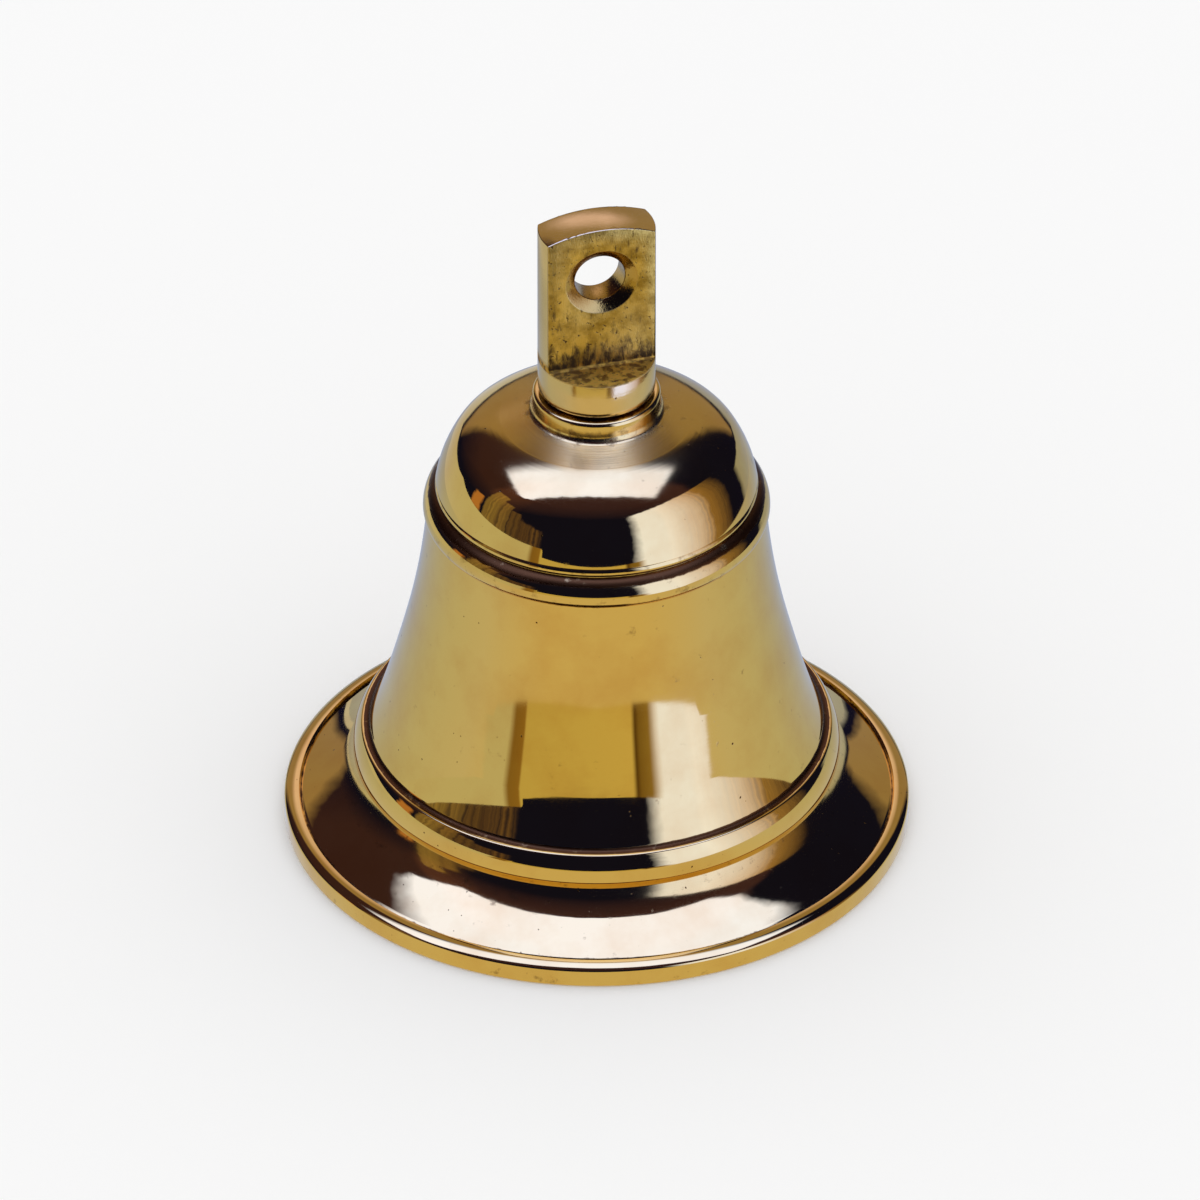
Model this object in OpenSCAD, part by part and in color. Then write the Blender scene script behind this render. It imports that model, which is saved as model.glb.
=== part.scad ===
// Small turned brass bell that stands on its rim or hangs from a drilled stud.
// Origin: centre of the mouth, in the plane of the rim. +Z is up, and the
// stud's cross bore runs along Y, which is also the clapper's hinge axis.

/* [Mouth and flange] */
// Outer diameter of the rim
mouth_d = 85; // [80:0.5:100]
// Height at which the rim's upright edge starts to round over
rim_h = 2.3; // [1.8:0.1:3]
// Rounding of the rim's upper corner
rim_edge = 0.5; // [0.3:0.1:0.8]
// Radius of the raised land's curved top
land_r = 2.8; // [2:0.1:4]
// Lean of the surface where the land meets the rounded corner
land_lean = 50; // [40:1:60]
// Width of the fine groove inside the land
groove_w = 0.6; // [0.4:0.1:1]
// Depth of the fine groove below the flange
groove_d = 0.2; // [0.1:0.05:0.4]
// Height of the flange's top beside the groove
lip_h = 3.15; // [2.8:0.05:3.6]
// Hollow radius of the flange's outer stretch
lip_bow = 40; // [30:1:80]
// Width of the hollow under the lower bead
hollow_w = 2.7; // [2:0.1:4]
// Drop of the hollow under the lower bead
hollow_drop = 3; // [2.4:0.1:3.4]
// Radius of the hollow under the lower bead
hollow_bow = 8; // [6:0.5:14]
// Rounding of the rim's lower corner
rim_foot_edge = 0.35; // [0.2:0.05:0.6]
// Width of the flat ring that the bell stands on
foot_ring_w = 4.4; // [3:0.1:6]

/* [Lower bead] */
// Outer diameter of the lower bead
bead_d = 66.3; // [64:0.1:70]
// Height of the lower bead's widest line
bead_z = 10.7; // [10:0.1:12]
// Radius of the bead's face above its widest line
bead_face_r = 6; // [4:0.5:8]
// Radius of the bead below its widest line
bead_under_r = 2; // [1.6:0.1:2.4]
// Rounding between the bead's face and the shelf on its top
bead_edge = 0.4; // [0.2:0.1:0.6]

/* [Waist] */
// Diameter of the waist at its foot, above the lower bead
waist_foot_d = 60.4; // [58:0.1:62]
// Radius of the cove between the waist and the lower bead's shelf
foot_cove = 0.8; // [0.4:0.1:1]
// Diameter where the straight taper turns into the long curve
knee_d = 52.1; // [50:0.1:54]
// Height of that place
knee_z = 30.4; // [26:0.1:36]
// Radius of the waist's long curve
waist_bow = 91; // [70:1:200]

/* [Upper bead] */
// How far the upper bead stands out past the foot of the crown
top_bead_out = 1.75; // [1.4:0.05:2.3]
// Height of the upper bead's widest line
top_bead_z = 50.3; // [49:0.1:53]
// Radius of the upper bead above its widest line
top_bead_over_r = 2.8; // [2.2:0.1:3.4]
// Radius of the upper bead below its widest line
top_bead_under_r = 2; // [1.2:0.1:2.4]
// Width of the fine ring between the upper bead and the crown
ring_w = 1.15; // [0.8:0.05:1.3]
// Radius of the fine ring's section
ring_r = 0.75; // [0.66:0.01:1]
// Depth of the fine grooves on both sides of the ring
ring_groove = 0.15; // [0.05:0.05:0.3]

/* [Crown and boss] */
// Diameter of the crown at its foot, above the fine ring
crown_d = 43.6; // [41:0.1:46]
// Lean of the crown's side at its foot
crown_foot_lean = 11; // [6:1:16]
// Radius of the crown's side, between its foot and the shoulder
crown_side_bow = 18.4; // [14:0.1:24]
// Lean of the surface where the side turns into the shoulder
shoulder_low_lean = 30; // [26:1:34]
// Radius of the crown's shoulder
shoulder_r = 7; // [5:0.1:9]
// Lean of the surface where the shoulder turns into the crown's upper curve
shoulder_high_lean = 48; // [42:1:54]
// Radius of the crown's upper curve
crown_bow = 15.2; // [12:0.1:17]
// Lean of the crown's straight top, beside the boss
crown_top_lean = 71; // [66:1:76]
// Diameter of the boss that the stud seats on
boss_d = 17.4; // [16.8:0.1:20]
// Height of the boss above the crown's top
boss_h = 3.05; // [2.5:0.05:4]
// Rounding of the boss's upper corner
boss_edge = 0.6; // [0.3:0.1:0.8]
// Fillet at the foot of the boss
boss_fillet = 1; // [0.6:0.1:1.4]

/* [Walls] */
// Wall of the waist
wall = 2.6; // [2:0.1:3.2]
// Wall of the crown
crown_wall = 2.7; // [2.2:0.1:3.2]
// Height at which the inside starts to flare towards the mouth
flare_z = 8.6; // [7.5:0.1:10]
// Diameter of the flat seat for the washer inside the crown
seat_d = 19; // [17.5:0.5:20]

/* [Hanger stud] */
// Diameter of the bar that the stud is turned from
stud_d = 16; // [15:0.1:17]
// Overall height of the stud's head above the boss
head_h = 27.9; // [24:0.1:32]
// Radius of the domed end
dome_r = 20.6; // [14:0.1:40]
// Thickness of the tongue between the two milled flats
tongue_t = 5.7; // [5:0.1:8]
// Height of the round collar left below the flats
collar_h = 5.7; // [4:0.1:9]
// Corner radius that the cutter leaves at the foot of the flats
cutter_r = 0.5; // [0.2:0.1:1.2]
// Rounding at the foot of the collar
collar_edge = 1.2; // [0.5:0.1:1.5]
// Diameter of the cross bore
eye_d = 7; // [5:0.1:8]
// Distance of the cross bore's axis below the top of the dome
eye_drop = 8.6; // [7.5:0.1:11]
// Diameter of the countersinks on the flats
eye_sink_d = 10; // [8.5:0.1:11]
// Depth of each countersink
eye_sink = 1.05; // [0.5:0.05:1.4]

/* [Shank and fork] */
// Diameter of the shank that goes through the crown
shank_d = 8; // [7:0.1:9]
// Clearance of the shank in the crown, on the radius
shank_gap = 0.25; // [0.1:0.05:0.4]
// Length of round shank left below the nut
shank_spare = 0.8; // [0.5:0.1:2]
// Width across the two flats of the fork
fork_w = 7; // [6.4:0.1:7]
// Width of the slot in the fork
slot_w = 3.1; // [2.9:0.1:3.4]
// Distance from the slot's root to the hinge axis
slot_root = 4; // [3.8:0.1:5]
// Distance from the hinge axis to the fork's end
fork_end = 3.8; // [3:0.1:4.2]

/* [Washers and nut] */
// Outer diameter of the plain washer
washer_d = 16; // [14:0.5:17]
// Thickness of the plain washer
washer_t = 1.6; // [1:0.1:2]
// Outer diameter of the spring washer
spring_d = 14.2; // [12:0.1:14.8]
// Thickness of the flattened spring washer
spring_t = 2; // [1.2:0.1:2.2]
// Gap at the split of the spring washer
split_gap = 1; // [0.6:0.1:1.6]
// Clearance of both washers on the shank, on the radius
washer_gap = 0.2; // [0.1:0.05:0.4]
// Width of the nut across its flats
nut_af = 13; // [12:0.1:14]
// Height of the thin nut
nut_h = 4; // [3:0.1:5]

/* [Clapper] */
// Diameter of the hinge pin
pin_d = 3; // [2.4:0.1:3.4]
// Diameter of the pin's two heads
pin_head_d = 5; // [4.4:0.1:5.6]
// Height of each head of the pin
pin_head_h = 1; // [0.6:0.1:1.2]
// Running clearance of the eye on the pin, on the radius
pin_gap = 0.06; // [0.02:0.01:0.1]
// Outer diameter of the clapper rod's flat eye
rod_eye_d = 6.6; // [6:0.1:7]
// Clearance of the flat eye in the slot, on each side
slot_gap = 0.25; // [0.1:0.05:0.4]
// Width of the flat stretch under the eye
blade_w = 5; // [4:0.1:6]
// Distance from the hinge axis to where the rod becomes round
blade_l = 6.6; // [6:0.1:9]
// Diameter of the clapper rod
rod_d = 4; // [3:0.1:4.6]
// Diameter of the clapper ball
ball_d = 16; // [14:0.1:18]
// Height of the ball's centre above the rim plane
ball_z = 15.2; // [14.6:0.1:18]
// Diameter of the flat spots where the rod leaves the ball
ball_flat_d = 6; // [5:0.1:7]
// Diameter of the lanyard eye's turned body
tail_d = 6; // [5:0.1:6.4]
// Depth of the rod's seat in the lanyard eye
tail_seat = 1.8; // [1.5:0.1:2]
// Thickness of the lanyard eye between its two flats
tail_flat = 3; // [2.4:0.1:4]
// Diameter of the hole for a lanyard
tail_hole_d = 2.6; // [2:0.1:2.8]
// Metal left between that hole and the rod's seat
tail_web = 0.8; // [0.6:0.1:0.9]

/* [Hidden] */
$fn = 96;

brass = [0.79, 0.62, 0.27];
pale_brass = [0.84, 0.69, 0.36];
bronze = [0.62, 0.42, 0.2];
steel = [0.66, 0.67, 0.69];

// How far the points of a turned arc may cut its corners
arc_flat = 0.006;
// Small overlap of cutters with the faces that they cut
cut = 0.1;

mouth_r = mouth_d / 2;
bead_r = bead_d / 2;
waist_foot_r = waist_foot_d / 2;
knee_r = knee_d / 2;
crown_r = crown_d / 2;
top_bead_r = crown_r + top_bead_out;
boss_r = boss_d / 2;
stud_r = stud_d / 2;
shank_r = shank_d / 2;
ball_r = ball_d / 2;

ball_flat_z = sqrt(ball_r * ball_r - ball_flat_d * ball_flat_d / 4);
tail_top = ball_z - ball_flat_z;
tail_hole_z = tail_top - tail_seat - tail_web - tail_hole_d / 2;

function polar(r, t) = [r * cos(t), r * sin(t)];

// Points of an arc from a to b. A positive radius bulges to the left of the
// way from a to b, and a negative one to the right.
function arc(a, b, radius) =
    let (
        chord = b - a,
        span = norm(chord),
        r = abs(radius),
        side = sign(radius),
        rise = sqrt(max(r * r - span * span / 4, 0)),
        middle = (a + b) / 2 + side * rise * [chord.y, -chord.x] / span,
        start = atan2(a.y - middle.y, a.x - middle.x),
        sweep = 2 * asin(min(span / 2 / r, 1)),
        step = 2 * acos(1 - arc_flat / r),
        steps = max(2, ceil(sweep / step))
    )
    [for (i = [0 : steps]) middle + polar(r, start - side * sweep * i / steps)];

// The same outline point moved inwards, square to a surface of that lean
function inside(point, lean, depth) = point - polar(depth, lean);

// The place at that radius on the crown's straight top, or on its inner face
function slope_at(foot, radius) = [radius, foot.y + (foot.x - radius) / tan(crown_top_lean)];

// Rim: rounded corner, raised land and fine groove
rim_corner = [mouth_r - rim_edge, rim_h];
rim_join = rim_corner + polar(rim_edge, land_lean);
land_middle = rim_join - polar(land_r, land_lean);
land_inner = land_middle + [0, land_r];
groove_foot = [land_inner.x - groove_w / 2, lip_h - groove_d];
lip = [land_inner.x - groove_w, lip_h];

// Lower bead: a tall rounded face over a small round, with a shelf on its top
bead_face_lean = 35;
bead_under_lean = 56;
bead_middle = [bead_r - bead_face_r, bead_z];
bead_face_end = bead_middle + polar(bead_face_r, bead_face_lean);
bead_shelf = bead_middle + polar(bead_face_r - bead_edge, bead_face_lean) + [0, bead_edge];
bead_under = [bead_r - bead_under_r, bead_z] + polar(bead_under_r, -bead_under_lean);
hollow_end = bead_under + [hollow_w, -hollow_drop];

// Waist: straight taper below the knee and a long curve above it
waist_spread = waist_foot_r - knee_r;
rough_taper = atan(waist_spread / (knee_z - bead_shelf.y));
waist_foot = [waist_foot_r, bead_shelf.y + foot_cove * (1 - sin(rough_taper))];
taper = atan(waist_spread / (knee_z - waist_foot.y));
cove_end = [waist_foot_r + foot_cove * cos(taper), bead_shelf.y];
knee = [knee_r, knee_z];

// Upper bead and the fine ring above it
top_bead_under_lean = 40;
waist_top = [top_bead_r - top_bead_under_r, top_bead_z]
    + polar(top_bead_under_r, -top_bead_under_lean);
neck_r = crown_r - ring_groove;
over_middle_r = top_bead_r - top_bead_over_r;
top_bead_rise = sqrt(top_bead_over_r ^ 2 - (neck_r - over_middle_r) ^ 2);
top_bead_over = [neck_r, top_bead_z + top_bead_rise];
ring_low = top_bead_over + [0, ring_groove];
ring_high = ring_low + [0, ring_w];

// Crown: three round stretches that run into each other, a straight top and the boss
crown_foot = [crown_r, ring_high.y + ring_groove];
side_middle = crown_foot - polar(crown_side_bow, crown_foot_lean);
shoulder_low = side_middle + polar(crown_side_bow, shoulder_low_lean);
shoulder_middle = shoulder_low - polar(shoulder_r, shoulder_low_lean);
shoulder_high = shoulder_middle + polar(shoulder_r, shoulder_high_lean);
bow_middle = shoulder_high - polar(crown_bow, shoulder_high_lean);
slope_foot = bow_middle + polar(crown_bow, crown_top_lean);
crown_top_r = boss_r + boss_fillet * (1 - cos(crown_top_lean));
crown_top = slope_at(slope_foot, crown_top_r);
fillet_z = crown_top.y + boss_fillet * sin(crown_top_lean);
boss_top = crown_top.y + boss_h;

// Inside: parallel to the outside, with a wider flare at the mouth
top_lean = 3;
inner_top = inside(waist_top, top_lean, wall);
inner_knee = inside(knee, taper, wall);
inner_flare = [inner_knee.x + (inner_knee.y - flare_z) * tan(taper), flare_z];
mouth_edge = [mouth_r - rim_foot_edge - foot_ring_w, 0];
flare_run = mouth_edge - inner_flare;
flare_bow = norm(flare_run) ^ 2 / (2 * flare_run * polar(1, taper));
inner_foot = inside(crown_foot, crown_foot_lean, crown_wall);
inner_low = inside(shoulder_low, shoulder_low_lean, crown_wall);
inner_high = inside(shoulder_high, shoulder_high_lean, crown_wall);
inner_slope = inside(slope_foot, crown_top_lean, crown_wall);
seat_edge = slope_at(inner_slope, seat_d / 2);
bore_r = shank_r + shank_gap;

// Stud and clapper: stacked up from the boss and down from the washers' seat
head_top = boss_top + head_h;
eye_z = head_top - eye_drop;
washer_z = seat_edge.y - washer_t;
spring_z = washer_z - spring_t;
nut_z = spring_z - nut_h;
fork_z = nut_z - shank_spare;
hinge_z = fork_z - slot_root;
shank_end = hinge_z - fork_end;

outside_outline = concat(
    [[bore_r, boss_top]],
    arc([boss_r - boss_edge, boss_top], [boss_r, boss_top - boss_edge], boss_edge),
    arc([boss_r, fillet_z], crown_top, -boss_fillet),
    arc(slope_foot, shoulder_high, crown_bow),
    arc(shoulder_high, shoulder_low, shoulder_r),
    arc(shoulder_low, crown_foot, crown_side_bow),
    arc(ring_high, ring_low, ring_r),
    arc(top_bead_over, [top_bead_r, top_bead_z], top_bead_over_r),
    arc([top_bead_r, top_bead_z], waist_top, top_bead_under_r),
    arc(waist_top, knee, -waist_bow),
    arc(waist_foot, cove_end, -foot_cove),
    arc(bead_shelf, bead_face_end, bead_edge),
    arc(bead_face_end, [bead_r, bead_z], bead_face_r),
    arc([bead_r, bead_z], bead_under, bead_under_r),
    arc(bead_under, hollow_end, -hollow_bow),
    arc(hollow_end, lip, -lip_bow),
    [groove_foot],
    arc(land_inner, rim_join, land_r),
    arc(rim_join, [mouth_r, rim_h], rim_edge),
    arc([mouth_r, rim_foot_edge], [mouth_r - rim_foot_edge, 0], rim_foot_edge)
);

inside_outline = concat(
    arc(mouth_edge, inner_flare, flare_bow),
    arc(inner_knee, inner_top, waist_bow + wall),
    arc(inner_foot, inner_low, -(crown_side_bow - crown_wall)),
    arc(inner_low, inner_high, -(shoulder_r - crown_wall)),
    arc(inner_high, inner_slope, -(crown_bow - crown_wall)),
    [seat_edge, [bore_r, seat_edge.y]]
);

module bell_shell() {
    color(brass)
    rotate_extrude($fn = 180)
    polygon(concat(outside_outline, inside_outline));
}

// Cutter for one flat of the stud's head, with the corner that it leaves
module flat_cutter() {
    depth = stud_r - tongue_t / 2 + cut;
    foot = boss_top + collar_h;
    rise = head_top - foot + cut;
    translate([-stud_r - cut, 0, 0])
    rotate([90, 0, 90])
    linear_extrude(stud_d + 2 * cut)
    translate([tongue_t / 2, foot])
    union() {
        translate([0, cutter_r]) square([depth, rise - cutter_r]);
        translate([cutter_r, 0]) square([depth - cutter_r, cutter_r + cut]);
        translate([cutter_r, cutter_r]) circle(cutter_r, $fn = 32);
    }
}

// Cross bore of the head, countersunk on both flats
module stud_eye() {
    rotate([90, 0, 0])
    cylinder(d = eye_d, h = stud_d, center = true);
    for (turn = [0, 180])
    rotate([-90, 0, turn])
    translate([0, 0, tongue_t / 2 - eye_sink])
    cylinder(d1 = eye_d, d2 = eye_sink_d, h = eye_sink + 0.001);
}

// Turned head: rounded foot, straight bar and domed end
module stud_head() {
    dome_drop = dome_r - sqrt(dome_r * dome_r - stud_r * stud_r);
    foot_in = stud_r - collar_edge;
    rotate_extrude()
    polygon(concat(
        [[0, boss_top]],
        arc([foot_in, boss_top], [stud_r, boss_top + collar_edge], -collar_edge),
        arc([stud_r, head_top - dome_drop], [0, head_top], -dome_r)
    ));
}

// Shank through the crown, milled to a slotted fork at its end
module stud_shank() {
    difference() {
        translate([0, 0, shank_end])
        cylinder(d = shank_d, h = boss_top - shank_end + cut);
        for (turn = [0, 180])
        rotate([0, 0, turn])
        translate([-shank_d, fork_w / 2, shank_end - cut])
        cube([2 * shank_d, shank_d, fork_z - shank_end + cut]);
        translate([-shank_d, -slot_w / 2, shank_end - cut])
        cube([2 * shank_d, slot_w, fork_z - shank_end + cut]);
        translate([0, 0, hinge_z])
        rotate([90, 0, 0])
        cylinder(d = pin_d, h = 2 * shank_d, center = true);
    }
}

module hanger_stud() {
    color(pale_brass) {
        difference() {
            stud_head();
            flat_cutter();
            rotate([0, 0, 180]) flat_cutter();
            translate([0, 0, eye_z]) stud_eye();
        }
        stud_shank();
    }
}

module crown_washer() {
    color(brass)
    translate([0, 0, washer_z])
    difference() {
        cylinder(d = washer_d, h = washer_t);
        translate([0, 0, -cut])
        cylinder(r = shank_r + washer_gap, h = washer_t + 2 * cut);
    }
}

// Flattened split spring washer, with the slanted gap of its two ends
module lock_washer() {
    slant = 25;
    color(steel)
    translate([0, 0, spring_z])
    difference() {
        cylinder(d = spring_d, h = spring_t);
        translate([0, 0, -cut])
        cylinder(r = shank_r + washer_gap, h = spring_t + 2 * cut);
        translate([spring_d / 2, 0, spring_t / 2])
        rotate([slant, 0, 0])
        cube([spring_d, split_gap, 3 * spring_t], center = true);
    }
}

// Thin hexagon nut, chamfered on both faces
module crown_nut() {
    corner_r = nut_af / 2 / cos(30);
    chamfer = (corner_r - nut_af / 2) * tan(30);
    color(brass)
    translate([0, 0, nut_z])
    difference() {
        intersection() {
            cylinder(r = corner_r, h = nut_h, $fn = 6);
            rotate_extrude()
            polygon([
                [0, 0],
                [nut_af / 2, 0],
                [corner_r, chamfer],
                [corner_r, nut_h - chamfer],
                [nut_af / 2, nut_h],
                [0, nut_h]
            ]);
        }
        translate([0, 0, -cut])
        cylinder(d = shank_d, h = nut_h + 2 * cut);
    }
}

// Low domed rivet head that stands on the plane z = 0
module rivet_head(diameter, height) {
    dome = (diameter * diameter / 4 + height * height) / (2 * height);
    rotate_extrude($fn = 48)
    polygon(concat(
        [[0, 0]],
        arc([diameter / 2, 0], [0, height], -dome)
    ));
}

module clapper_pin() {
    color(bronze)
    translate([0, 0, hinge_z])
    rotate([90, 0, 0]) {
        cylinder(d = pin_d, h = fork_w, center = true, $fn = 48);
        for (side = [0, 1])
        mirror([0, 0, side])
        translate([0, 0, fork_w / 2])
        rivet_head(pin_head_d, pin_head_h);
    }
}

// Flat eye and blade of the rod, as thick as the slot lets it be
module rod_blade() {
    thick = slot_w - 2 * slot_gap;
    translate([0, 0, hinge_z])
    rotate([90, 0, 0])
    linear_extrude(thick, center = true)
    difference() {
        union() {
            circle(d = rod_eye_d);
            translate([-blade_w / 2, -blade_l - rod_d / 2])
            square([blade_w, blade_l + rod_d / 2]);
        }
        circle(r = pin_d / 2 + pin_gap);
    }
}

module clapper_rod() {
    rod_top = hinge_z - blade_l;
    rod_end = tail_top - tail_seat;
    color(pale_brass)
    union() {
        rod_blade();
        translate([0, 0, rod_end])
        cylinder(d = rod_d, h = rod_top - rod_end, $fn = 64);
    }
}

module clapper_ball() {
    color(brass)
    translate([0, 0, ball_z])
    difference() {
        intersection() {
            sphere(ball_r);
            cube([ball_d, ball_d, 2 * ball_flat_z], center = true);
        }
        cylinder(d = rod_d, h = 2 * ball_d, center = true, $fn = 64);
    }
}

// Turned end piece under the ball: a neck over a flattened ball with a hole
module lanyard_eye() {
    tail_r = tail_d / 2;
    color(pale_brass)
    difference() {
        intersection() {
            union() {
                translate([0, 0, tail_hole_z]) sphere(tail_r, $fn = 64);
                translate([0, 0, tail_hole_z])
                cylinder(r = tail_r, h = tail_top - tail_hole_z, $fn = 64);
            }
            union() {
                translate([-tail_d, -tail_flat / 2, 0])
                cube([2 * tail_d, tail_flat, tail_top]);
                translate([-tail_d, -tail_d, tail_top - tail_seat])
                cube([2 * tail_d, 2 * tail_d, tail_seat]);
            }
        }
        translate([0, 0, tail_top - tail_seat])
        cylinder(d = rod_d, h = tail_seat + cut, $fn = 64);
        translate([0, 0, tail_hole_z])
        rotate([90, 0, 0])
        cylinder(d = tail_hole_d, h = 2 * tail_d, center = true, $fn = 48);
    }
}

bell_shell();
hanger_stud();
crown_washer();
lock_washer();
crown_nut();
clapper_pin();
clapper_rod();
clapper_ball();
lanyard_eye();
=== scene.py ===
# %% [markdown]
# # A small turned brass bell
# This file dresses the imported model of a small brass bell in Blender. The frame
# brings the solids from model.glb. The cells below give the bell its skin, its
# stud, its materials, a table and a camera.

# %% Load the frame
import math

import bmesh
import bpy
from mathutils import Matrix, Vector


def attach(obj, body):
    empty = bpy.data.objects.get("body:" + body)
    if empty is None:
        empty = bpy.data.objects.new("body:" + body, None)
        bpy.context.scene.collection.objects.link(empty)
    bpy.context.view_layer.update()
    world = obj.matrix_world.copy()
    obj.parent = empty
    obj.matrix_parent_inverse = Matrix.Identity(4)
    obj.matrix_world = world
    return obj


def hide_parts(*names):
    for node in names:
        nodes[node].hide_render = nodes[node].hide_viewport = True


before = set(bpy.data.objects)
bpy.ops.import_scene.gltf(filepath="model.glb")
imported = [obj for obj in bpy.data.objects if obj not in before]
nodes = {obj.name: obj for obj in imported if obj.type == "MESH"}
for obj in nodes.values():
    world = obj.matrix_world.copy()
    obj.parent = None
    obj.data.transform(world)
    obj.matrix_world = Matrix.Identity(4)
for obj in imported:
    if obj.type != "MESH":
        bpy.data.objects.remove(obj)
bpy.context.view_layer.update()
MM = 0.001
print("solids:", ", ".join(sorted(nodes)))

# %% [markdown]
# ## Small helpers
# Every material below is a tree of nodes. One function adds a node with its
# settings and links, which keeps the trees short enough to read. Colours are
# written as sRGB hex values, as in a paint program, and turned to linear light.

# %% Helpers for trees and colours
def add(tree, kind, inputs=None, **settings):
    """Adds a node. An input is a plain value, a socket, or a node for its first live output."""
    node = tree.nodes.new(kind)
    for name, value in settings.items():
        setattr(node, name, value)
    for key, value in (inputs or {}).items():
        if isinstance(value, bpy.types.Node):
            value = next(socket for socket in value.outputs if socket.enabled)
        if isinstance(value, bpy.types.NodeSocket):
            tree.links.new(value, node.inputs[key])
        else:
            node.inputs[key].default_value = value
    return node


def name_sockets(tree, direction, kinds):
    """Gives a node group its inputs or outputs, and returns their identifiers by name."""
    identifiers = {}
    for name, kind in kinds.items():
        socket = tree.interface.new_socket(name, in_out=direction, socket_type="NodeSocket" + kind)
        identifiers[name] = socket.identifier
    return identifiers


def colour(text):
    """Linear RGBA of an sRGB hex value such as #E7C061."""
    parts = [int(text[i:i + 2], 16) / 255 for i in (1, 3, 5)]
    return [c / 12.92 if c <= 0.04045 else ((c + 0.055) / 1.055) ** 2.4
            for c in parts] + [1.0]


print("brass in linear light:", [round(c, 3) for c in colour("#E7C061")])

# %% [markdown]
# ## The outline of the bell
# A bell like this is turned on a lathe from cast or bar brass, so one outline
# says everything about it. The outline is written as lines and arcs from the
# same sizes as the solid. The solid could be shown as it is, but its facets
# would break up the mirror-like reflections, so the skin is made again here with
# points close enough together for a polished surface.

# %% Arcs of the outline
ARC_STEP = math.radians(7)
TINY_STEP = math.radians(12)
LONG_STEP = 1.0
END_STEP = 0.12


def point(radius, height):
    return Vector((radius, height))


def polar(radius, lean):
    """Offset of that length at that lean above the horizontal, in degrees."""
    return point(radius * math.cos(math.radians(lean)), radius * math.sin(math.radians(lean)))


def reached(start, radius, lean, end_lean):
    """Where an arc of that radius ends, as its lean goes from one angle to the other."""
    return start - polar(radius, lean) + polar(radius, end_lean)


def arc(start, end, radius):
    """Points of an arc. A positive radius bulges to the left of the way.

    A long arc gets one more point close to each end, which keeps the smooth
    shading of a corner from running into it.
    """
    chord = end - start
    rise = math.sqrt(max(radius * radius - chord.length_squared / 4, 0))
    side = math.copysign(1, radius)
    middle = (start + end) / 2 + side * rise * point(chord.y, -chord.x).normalized()
    sweep = 2 * math.asin(min(chord.length / 2 / abs(radius), 1))
    step = TINY_STEP if abs(radius) < 1 else ARC_STEP
    count = max(2, math.ceil(sweep / step), math.ceil(chord.length / LONG_STEP))
    shares = [i / count for i in range(count + 1)]
    if chord.length / count > 3 * END_STEP:
        near = END_STEP / chord.length
        shares = sorted(shares + [near, 1 - near])
    first = math.atan2(start.y - middle.y, start.x - middle.x)
    turns = [first - side * sweep * share for share in shares]
    return [middle + abs(radius) * point(math.cos(t), math.sin(t)) for t in turns]


print("points on a quarter circle of 10 mm:", len(arc(point(10, 0), point(0, 10), -10)))

# %% [markdown]
# ## The rim, the flange and the lower bead
# The bell stands on a wide flange with a raised land at its edge, and a rounded
# bead runs above it. They could be drawn over a picture as a Bezier curve, but
# points worked out from radii and angles can be checked against the solid. Sizes
# are in millimetres: the distance from the axis, then the height over the table.

# %% Rim, flange and lower bead
rim_r, rim_round, rim_chamfer = 42.5, 0.5, 0.35
land_r, land_lean = 2.8, 50
rim_corner = point(rim_r - rim_round, 2.3)
rim_join = rim_corner + polar(rim_round, land_lean)
land_inner = rim_join - polar(land_r, land_lean) + point(0, land_r)
land_groove = point(land_inner.x - 0.3, 2.95)
lip = point(land_inner.x - 0.6, 3.15)

bead = point(33.15, 10.7)
bead_face_r, bead_under_r, bead_lean = 6, 2, 35
shelf_corner = 0.4
bead_middle = bead - point(bead_face_r, 0)
bead_face_end = bead_middle + polar(bead_face_r, bead_lean)
bead_shelf = bead_middle + polar(bead_face_r - shelf_corner, bead_lean) + point(0, shelf_corner)
bead_under = reached(bead, bead_under_r, 0, -56)
hollow_end = bead_under + point(2.7, -3)
hollow_r, flange_r = 8, 40
print("lower bead:", bead.x, "mm from the axis,", bead.y, "mm up")

# %% [markdown]
# ## The waist
# The waist is the long part of the wall that sounds. The solid's waist is an arc
# with a straight cone under it. A mirror shows where a straight part starts, so
# flat arcs stand in for them here. The last one bends out to the foot by half a
# millimetre more, because the real foot mirrors what stands above the edge of
# the table.

# %% Waist
knee = point(26.05, 30.4)
waist_r = 114.3
foot_r = 30.2
foot_cove = 0.8
rough_taper = math.atan((foot_r - knee.x) / (knee.y - bead_shelf.y))
cone_foot = point(foot_r, bead_shelf.y + foot_cove * (1 - math.sin(rough_taper)))
taper = math.degrees(math.atan((foot_r - knee.x) / (knee.y - cone_foot.y)))

# The two flat arcs under the knee: length and lean of the chord, and radius
low_run, low_lean, low_r = 9.3, 14.7, 330
flare_run, flare_lean, flare_r = 7.0, 19.5, 50
cove_lean = 23.5
flare_top = knee + polar(low_run, low_lean - 90)
waist_foot = flare_top + polar(flare_run, flare_lean - 90)
cove_width = foot_cove * math.cos(math.radians(cove_lean))
cove_end = point(waist_foot.x, bead_shelf.y) + point(cove_width, 0)
# The crease between the cove and the shelf of the lower bead
crease = bead_shelf - point(0.12, 0)
print("the solid's waist leans", round(taper, 2), "degrees at its foot")

# %% [markdown]
# ## The upper bead
# The upper bead marks where the waist meets the crown, with a fine ring over it.
# A turner cuts it with a hollow tool, rounder below than above. It could be a
# torus pushed into the wall, but as part of the outline it has no hidden seam.

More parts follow.
